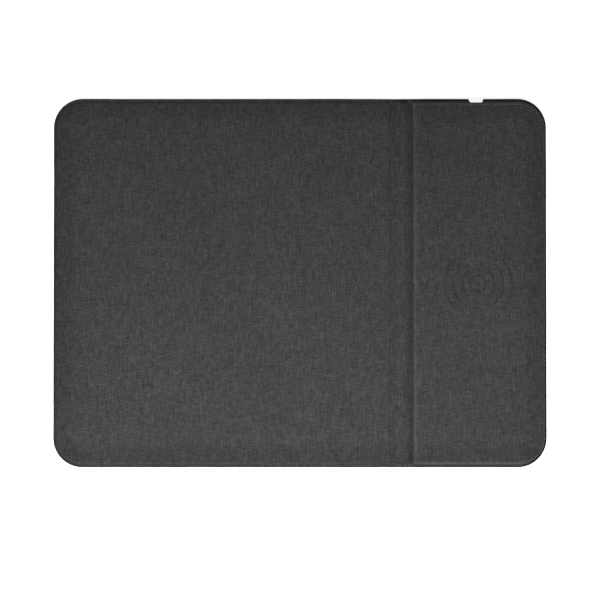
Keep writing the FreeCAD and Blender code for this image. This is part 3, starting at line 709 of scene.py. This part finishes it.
def heather_yarn(n, u, v, thread_a, thread_b, on_top):
    """Shade of the thread on top, with pale and dark stretches, and the grain of its fibres."""
    warp_at = n.join(n.math("MULTIPLY", thread_a, 3.37), n.math("DIVIDE", v, WARP_SLUB))
    weft_at = n.join(n.math("DIVIDE", u, WEFT_SLUB), n.math("MULTIPLY", thread_b, 4.19))
    warp_shade = n.noise(warp_at, 1.0, 3.0, "2D", 0.6)
    weft_shade = n.noise(weft_at, 1.0, 3.0, "2D", 0.6)
    stops = [(at, shade / RAMP_TOP) for at, shade in YARN_SHADES]
    warp_tone = n.ramp(warp_shade, *stops)
    weft_tone = n.ramp(n.math("MULTIPLY", weft_shade, 0.98), *stops)
    fibre_a = n.noise(n.join(n.math("MULTIPLY", u, 11.0), n.math("MULTIPLY", v, 1.7)), 1.0, 2.0, "2D")
    fibre_b = n.noise(n.join(n.math("MULTIPLY", u, 1.7), n.math("MULTIPLY", v, 11.0)), 1.0, 2.0, "2D")
    grain = n.math("ADD", fibre_b, n.math("MULTIPLY", on_top, n.math("SUBTRACT", fibre_a, fibre_b)))
    return n.mix(on_top, weft_tone, warp_tone), grain


def woven_cloth():
    """Plain weave of dark heather yarn, whose threads wander, vary in shade and have pale slubs."""
    n = Nodes("heather_weave")
    cloth = n.attribute("cloth").outputs["Vector"]
    u, v, _ = n.split(cloth)
    a, b = thread_numbers(n, cloth, u, v)
    thread_a, thread_b = n.math("FLOOR", a), n.math("FLOOR", b)
    height, on_top = plain_weave(n, a, b, thread_a, thread_b)
    yarn, grain = heather_yarn(n, u, v, thread_a, thread_b, on_top)
    blotch = n.noise(cloth, 0.02, 2.0, "2D")
    # painted light and shade, from the cover's vertices
    painted_light_level = n.attribute("tone").outputs["Fac"]
    # darker where the weave is low, between the threads: painted shade in the weave's hollows
    strength = n.math("MULTIPLY_ADD", height, 0.62, 0.45)
    strength = n.math("MULTIPLY", strength, n.math("MULTIPLY_ADD", grain, 0.5, 0.75))
    strength = n.math("MULTIPLY", strength, n.math("MULTIPLY_ADD", blotch, 0.16, 0.92))
    strength = n.math("MULTIPLY", strength, n.math("MULTIPLY_ADD", painted_light_level, PAINTED_LIGHT_STRENGTH, 1.0))
    colour = n.mix(1.0, yarn, CLOTH_COLOUR, "MULTIPLY")
    n.surface(
        Base_Color=n.scaled(colour, n.math("MULTIPLY", strength, RAMP_TOP)),
        Roughness=n.math("MULTIPLY_ADD", height, -0.12, 0.93),
        Specular_IOR_Level=0.1,
        Sheen_Weight=0.02,
        Sheen_Roughness=0.5,
    )
    n.bump(n.math("MULTIPLY_ADD", grain, 0.45, height), 0.11, 0.9)
    return n.material


LOZENGE_PITCH = 1.3


def rubber():
    """Black rubber, with a fine non-slip pattern of raised lozenges underneath."""
    n = Nodes("base_rubber")
    place = n.attribute("rest").outputs["Vector"]
    x, y, z = n.split(place)
    ridge_a = n.math("SINE", n.math("MULTIPLY", n.math("ADD", x, y), math.pi / LOZENGE_PITCH))
    ridge_b = n.math("SINE", n.math("MULTIPLY", n.math("SUBTRACT", x, y), math.pi / LOZENGE_PITCH))
    lozenge = n.math("MINIMUM", n.math("ABSOLUTE", ridge_a), n.math("ABSOLUTE", ridge_b))
    speck = n.noise(place, 2.6, 4.0)
    dust = n.noise(place, 0.09, 3.0)
    shade = n.math("MULTIPLY_ADD", speck, 0.35, n.math("MULTIPLY", dust, 0.4))
    n.surface(
        Base_Color=n.ramp(shade, (0.2, (0.011, 0.012, 0.012)), (0.55, (0.024, 0.025, 0.025))),
        Roughness=n.math("MULTIPLY_ADD", speck, 0.25, 0.62),
        Specular_IOR_Level=0.35,
    )
    underside = n.math("LESS_THAN", z, 0.05)
    lozenge = n.math("MULTIPLY", n.math("MINIMUM", lozenge, 0.5), underside)
    n.bump(n.math("MULTIPLY_ADD", speck, 0.3, lozenge), 0.12, 0.8)
    return n.material


def plastic(name, colour, grain_mm=0.35, roughness=0.6):
    """Moulded plastic with a fine spark-eroded grain."""
    n = Nodes(name)
    place = n.place()
    grain = n.noise(place, 1 / grain_mm, 3.0)
    cloud = n.noise(place, 0.05, 2.0)
    dark = tuple(c * 0.8 for c in colour)
    n.surface(
        Base_Color=n.mix(cloud, dark, colour),
        Roughness=n.math("MULTIPLY_ADD", grain, 0.2, roughness - 0.1),
        Specular_IOR_Level=0.4,
    )
    n.bump(grain, 0.03, 0.5)
    return n.material


def brushed_metal(name, colour, roughness, along=(0.2, 9.0, 9.0)):
    n = Nodes(name)
    x, y, z = n.split(n.place())
    streaks = n.noise(n.join(*[n.math("MULTIPLY", c, s) for c, s in zip((x, y, z), along)]), 1.0, 3.0)
    stain = n.noise(n.place(), 0.6, 2.0)
    dull = tuple(c * 0.75 for c in colour)
    n.surface(
        Base_Color=n.mix(stain, dull, colour),
        Metallic=1.0,
        Roughness=n.math("MULTIPLY_ADD", streaks, 0.25, roughness - 0.1),
    )
    n.bump(streaks, 0.01, 0.4)
    return n.material


def copper_winding():
    """Enamelled litz wire: fine strands that twist along the winding, round the coil's middle."""
    n = Nodes("litz_copper")
    x, y, z = n.split(n.place())
    dx = n.math("SUBTRACT", x, float(COIL_X))
    radius = n.math("SQRT", n.math("ADD", n.math("MULTIPLY", dx, dx), n.math("MULTIPLY", y, y)))
    angle = n.math("ARCTAN2", y, dx)
    twist = n.math("ADD", n.math("MULTIPLY", radius, 24.0), n.math("MULTIPLY", angle, 60.0))
    strand = n.math("SINE", n.math("MULTIPLY_ADD", z, 9.0, twist))
    tarnish = n.noise(n.place(), 0.35, 3.0)
    n.surface(
        Base_Color=n.mix(tarnish, (0.52, 0.19, 0.075), (0.78, 0.36, 0.17)),
        Metallic=0.85,
        Roughness=n.math("MULTIPLY_ADD", strand, 0.06, 0.36),
        Coat_Weight=0.4,
    )
    n.bump(strand, 0.04, 0.8)
    return n.material


def circuit_board():
    """Green solder mask over copper tracks, with bare tinned pads in places."""
    n = Nodes("solder_mask")
    place = n.place()
    x, y, _ = n.split(place)
    bend = n.noise(place, 0.12, 1.0)
    track_a = n.math("SINE", n.math("MULTIPLY", n.math("MULTIPLY_ADD", bend, 5.0, x), 4.2))
    track_b = n.math("SINE", n.math("MULTIPLY", n.math("MULTIPLY_ADD", bend, -5.0, y), 4.2))
    patches = n.math("GREATER_THAN", n.noise(place, 0.16, 0.0), 0.5)
    track = n.math("MAXIMUM", n.math("MULTIPLY", track_a, patches), n.math("SUBTRACT", track_b, patches))
    raised = n.math("GREATER_THAN", track, 0.45)
    vias = n.add("ShaderNodeTexVoronoi")
    n.feed(vias.inputs["Vector"], place)
    vias.inputs["Scale"].default_value = 0.42
    via = n.math("LESS_THAN", vias.outputs["Distance"], 0.11)
    mask = n.mix(raised, (0.004, 0.045, 0.022), (0.008, 0.085, 0.04))
    n.surface(
        Base_Color=n.mix(via, mask, (0.62, 0.6, 0.55)),
        Metallic=n.math("MULTIPLY", via, 0.9),
        Roughness=n.math("MULTIPLY_ADD", n.noise(place, 2.0), 0.2, 0.35),
        Coat_Weight=0.1,
    )
    n.bump(raised, 0.035, 0.8)
    return n.material


def fibre_board():
    """Grey board pressed from recycled paper, with long pale and dark fibres."""
    n = Nodes("grey_board")
    place = n.place()
    x, y, z = n.split(place)
    fibres = n.noise(n.join(n.math("MULTIPLY", x, 0.25), y, z), 1.7, 5.0)
    flecks = n.noise(place, 0.9, 6.0, "3D", 0.7)
    n.surface(
        Base_Color=n.mix(
            n.ramp(flecks, (0.62, 0.0), (0.7, 1.0)),
            n.ramp(fibres, (0.3, (0.19, 0.18, 0.165)), (0.7, (0.33, 0.315, 0.29))),
            (0.08, 0.07, 0.06),
        ),
        Roughness=0.9,
        Specular_IOR_Level=0.2,
    )
    n.bump(fibres, 0.08, 0.7)
    return n.material


def speckled(name, dark, light, scale, roughness, bump_mm=0.02, spec=0.4):
    """Fired or pressed powder: an even body colour broken by fine grains."""
    n = Nodes(name)
    place = n.place()
    grain = n.noise(place, scale, 5.0, "3D", 0.65)
    n.surface(
        Base_Color=n.ramp(grain, (0.35, dark), (0.68, light)),
        Roughness=n.math("MULTIPLY_ADD", grain, 0.25, roughness - 0.12),
        Specular_IOR_Level=spec,
    )
    n.bump(grain, bump_mm, 0.7)
    return n.material


def open_foam():
    n = Nodes("pad_foam")
    place = n.place()
    cells = n.add("ShaderNodeTexVoronoi")
    n.feed(cells.inputs["Vector"], place)
    cells.inputs["Scale"].default_value = 3.2
    gap = cells.outputs["Distance"]
    n.surface(
        # darker at each cell's middle, where the bump is lowest: painted shade in the pores
        Base_Color=n.ramp(gap, (0.1, (0.012, 0.012, 0.013)), (0.6, (0.055, 0.055, 0.06))),
        Roughness=0.95,
        Specular_IOR_Level=0.2,
    )
    n.bump(gap, 0.12, 0.9)
    return n.material


def amber_tape():
    n = Nodes("amber_tape")
    place = n.place()
    ripple = n.noise(place, 0.5, 2.0)
    n.surface(
        Base_Color=n.mix(ripple, (0.36, 0.15, 0.02), (0.58, 0.29, 0.05)),
        Roughness=n.math("MULTIPLY_ADD", ripple, 0.15, 0.2),
    )
    n.bump(ripple, 0.03, 0.5)
    return n.material


def paint(material, *nodes):
    for name in nodes:
        node = frame["nodes"][name]
        node.data.materials.clear()
        node.data.materials.append(material)


def paint_insides():
    """Materials of the CAD parts under the cover."""
    paint(fibre_board(), "mat_board", "spine_board")
    paint(plastic("casing_plastic", (0.032, 0.032, 0.034)), "module_tray", "module_lid")
    paint(brushed_metal("screw_steel", (0.56, 0.56, 0.57), 0.32), "lid_screws", "board_screws")
    paint(speckled("ferrite", (0.02, 0.02, 0.022), (0.06, 0.06, 0.065), 2.2, 0.55), "ferrite_sheet")
    paint(amber_tape(), "coil_tape")
    paint(copper_winding(), "charging_coil", "coil_leads")
    paint(open_foam(), "coil_foam_ring")
    paint(speckled("sensor_epoxy", (0.012, 0.012, 0.012), (0.03, 0.03, 0.03), 1.5, 0.35), "thermistor")
    paint(circuit_board(), "main_board")
    epoxy = speckled("chip_epoxy", (0.012, 0.012, 0.013), (0.03, 0.03, 0.032), 5.0, 0.6)
    paint(epoxy, "controller_chip", "bridge_chip")
    paint(speckled("inductor_ferrite", (0.07, 0.07, 0.072), (0.16, 0.16, 0.165), 4.0, 0.6), "power_inductor")
    for name in ("resonant_capacitors", "input_capacitors", "small_passives"):
        body = (0.02, 0.02, 0.022) if name == "small_passives" else (0.40, 0.24, 0.13)
        paint(speckled(name + "_body", tuple(c * 0.7 for c in body), body, 5.0, 0.4), name)
    paint(brushed_metal("socket_steel", (0.62, 0.62, 0.63), 0.3, (9.0, 0.4, 9.0)), "usb_port_shell")
    paint(plastic("socket_plastic", (0.015, 0.015, 0.015), 0.2, 0.45), "usb_port_tongue")
    paint(brushed_metal("contact_gold", (0.86, 0.62, 0.24), 0.22, (9.0, 0.4, 9.0)), "usb_port_contacts")


# ---- pieces ----
COVER_PARTS = {
    False: ("mat_cover", "mat_crease_fabric"),
    True: ("module_cover", "module_crease_fabric", "spine_cover"),
}
BASE_PARTS = {False: ("mat_base_sheet",), True: ("module_base_sheet", "spine_base_sheet")}
BEND_LENGTH = {False: 1.2, True: 1.6}
BASE_STEP, BEND_STEP = 4.0, 0.2  # the longest side of a face in the base, and where it bends
SAG = 0.045  # how far the cloth dips where it isn't stuck down as tightly


def bend_over_crease(piece):
    """Bakes the sheet's transform into its mesh."""
    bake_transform(piece)


def make_cover(right, material):
    places, cloth, tones, faces = build_cover(right)
    swell = np.array([wander(x, y, 30.0, 1.3) for x, y, _ in places])
    flat = smooth((places[:, 2] - LIP_Z) / 0.8)
    places[:, 2] += np.minimum(swell * SAG, 0.0) * flat
    all_places, all_faces = thicken(places, faces, COVER_T, BASE_T)
    cloth3 = np.column_stack([cloth, np.zeros(len(cloth))])
    attributes = {"cloth": np.vstack([cloth3, cloth3]), "tone": np.concatenate([tones, tones])}
    piece = mesh_object("cover_right" if right else "cover_left", all_places, all_faces, attributes)
    piece.data.materials.append(material)
    bend_over_crease(piece)
    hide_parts(*COVER_PARTS[right])
    return piece


def base_lines(right):
    """x of each line along Y across one half of the base, close together where it bends."""
    way, crease = WAY[right], MODULE_CREASE_X if right else MAT_CREASE_X
    bend_end = crease + BEND_LENGTH[right]
    marks = [x for x in (SEAM_X, crease - 0.4, crease, bend_end, bend_end + 0.4) if (x - SEAM_X) * way >= 0]
    notch = [PORT_X + s * w for w in NOTCH_HALF_W[::-1] for s in (-1, 1)] if right else []
    stops = sorted(set(marks + notch + [way * INNER_X]), reverse=not right)
    xs = []
    for a, b in zip(stops, stops[1:]):
        fine = min(a, b) >= crease - 0.5 and max(a, b) <= bend_end + 0.1
        xs += list(graded([a, b], BEND_STEP if fine else BASE_STEP))[:-1]
    return xs + [stops[-1]]


def build_base(right):
    """Upper surface of one half of the base, with its edge slightly rounded."""
    sheet = Sheet()
    way, xs, ys = WAY[right], base_lines(right), graded([-INNER_Y, INNER_Y], BASE_STEP)
    depths = np.array([0.0, 0.04, 0.16, 2.6, CORNER_R])
    tops = np.array([BASE_T - 0.22, BASE_T - 0.06, BASE_T, BASE_T, BASE_T])
    profile = np.column_stack([depths, tops])

    def strip(stations, mirrored):
        places = np.array([station_places(at, inward, section, 0.0) for at, inward, section in stations])
        sheet.add(places, places[..., :2].copy(), np.zeros(places.shape[:2]), mirrored)

    for facing in (-1, 1):
        stations = []
        for x in xs:
            dug = profile.copy()
            if facing > 0:
                dug[:, 0] = np.where(dug[:, 0] < 3.0, dug[:, 0] + notch_depth(x), dug[:, 0])
            stations.append(((x, facing * Y1), (0, -facing), dug))
        strip(stations, facing * way > 0)
        corner = corner_stations(facing, right)
        strip([(point, -direction, profile) for _, direction, point in corner], facing * way > 0)
    strip([((way * X1, y), (-way, 0), profile) for y in ys], not right)
    grid_x, grid_y = np.meshgrid(xs, ys, indexing="ij")
    places = np.stack([grid_x, grid_y, np.full(grid_x.shape, BASE_T)], -1)
    sheet.add(places, places[..., :2].copy(), np.zeros(grid_x.shape), not right)
    return sheet.merged()


def make_base(right, material):
    """One half of the rubber base, as a thin solid. Its lower surface mirrors the upper one."""
    top, _, _, faces = build_base(right)
    under = top.copy()
    under[:, 2] = BASE_T - under[:, 2]
    count = len(top)
    edges = {(a, b) for face in faces for a, b in zip(face, face[1:] + face[:1])}
    rim = [(b, a, a + count, b + count) for a, b in sorted(edges) if (b, a) not in edges]
    below = [[v + count for v in reversed(face)] for face in faces]
    places = np.vstack([top, under])
    name = "base_right" if right else "base_left"
    piece = mesh_object(name, places, list(faces) + below + rim, {"rest": places})
    piece.data.materials.append(material)
    bend_over_crease(piece)
    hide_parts(*BASE_PARTS[right])
    return piece


# ---- stage ----
CAMERA_HEIGHT = 1.2
CAMERA_TILT = math.radians(1.2)
FRAME_WIDTH = 0.32784
AIM = (0.00002, -0.00945, 0.004)
FLOOR_GLOW = 0.8
FLOOR_HALF = 3.0
FLOOR_Z = -0.05  # mm, just clear of the mat's underside
WORLD_COLOUR, WORLD_STRENGTH = (0.96, 0.98, 1.0, 1.0), 0.15
LAMP_PLACE, LAMP_AIM = (-0.03, -0.265, 0.42), (-0.02, -0.12, 0.0)
LAMP_SIZE, LAMP_POWER = (0.6, 0.16), 5.0


def make_camera():
    camera = bpy.data.objects.new("camera", bpy.data.cameras.new("camera"))
    bpy.context.scene.collection.objects.link(camera)
    camera.data.sensor_width = 36.0
    camera.data.lens = 18.0 / (FRAME_WIDTH / 2 / CAMERA_HEIGHT)
    back = Vector((0, -math.sin(CAMERA_TILT), math.cos(CAMERA_TILT)))
    camera.location = Vector(AIM) + back * CAMERA_HEIGHT
    camera.rotation_euler = (CAMERA_TILT, 0, 0)
    bpy.context.scene.camera = camera


def make_floor():
    """White acrylic sheet, faintly lit from below, as under things photographed on pure white."""
    mesh = bpy.data.meshes.new("floor")
    corners = ((-1, -1), (1, -1), (1, 1), (-1, 1))
    ring = [(FLOOR_HALF * a, FLOOR_HALF * b, FLOOR_Z * MM) for a, b in corners]
    mesh.from_pydata(ring, [], [(0, 1, 2, 3)])
    floor = bpy.data.objects.new("floor", mesh)
    bpy.context.scene.collection.objects.link(floor)
    n = Nodes("pale_floor")
    cloud = n.noise(n.place(), 0.004, 2.0)
    n.surface(Base_Color=n.ramp(cloud, (0.0, 0.86), (1.0, 0.9)), Roughness=0.8, Specular_IOR_Level=0.2)
    n.surface(Emission_Color=(1.0, 1.0, 1.0, 1.0), Emission_Strength=FLOOR_GLOW)
    clear = n.add("ShaderNodeBsdfTransparent")  # from below, the floor doesn't hide the mat's underside
    mixed = n.add("ShaderNodeMixShader")
    n.feed(mixed.inputs[0], n.add("ShaderNodeNewGeometry").outputs["Backfacing"])
    n.feed(mixed.inputs[1], n.shader.outputs[0])
    n.feed(mixed.inputs[2], clear.outputs[0])
    n.feed(n.tree.nodes["Material Output"].inputs["Surface"], mixed.outputs[0])
    floor.data.materials.append(n.material)


def area_light(name, place, aim, size, power):
    light = bpy.data.lights.new(name, "AREA")
    light.shape = "RECTANGLE"
    light.size, light.size_y = size
    light.energy = power
    lamp = bpy.data.objects.new(name, light)
    bpy.context.scene.collection.objects.link(lamp)
    lamp.location = place
    lamp.rotation_euler = (Vector(aim) - Vector(place)).to_track_quat("-Z", "Y").to_euler()


def make_light():
    world = bpy.data.worlds.new("studio")
    bpy.context.scene.world = world
    world.use_nodes = True
    sky = world.node_tree.nodes["Background"]
    sky.inputs["Color"].default_value = WORLD_COLOUR
    sky.inputs["Strength"].default_value = WORLD_STRENGTH
    area_light("front_softbox", LAMP_PLACE, LAMP_AIM, LAMP_SIZE, LAMP_POWER)
    bpy.context.scene.view_settings.view_transform = "Standard"


make_camera()
make_floor()
make_light()
paint_insides()
cloth_material, rubber_material = woven_cloth(), rubber()
for is_right in (False, True):
    make_cover(is_right, cloth_material)
    make_base(is_right, rubber_material)
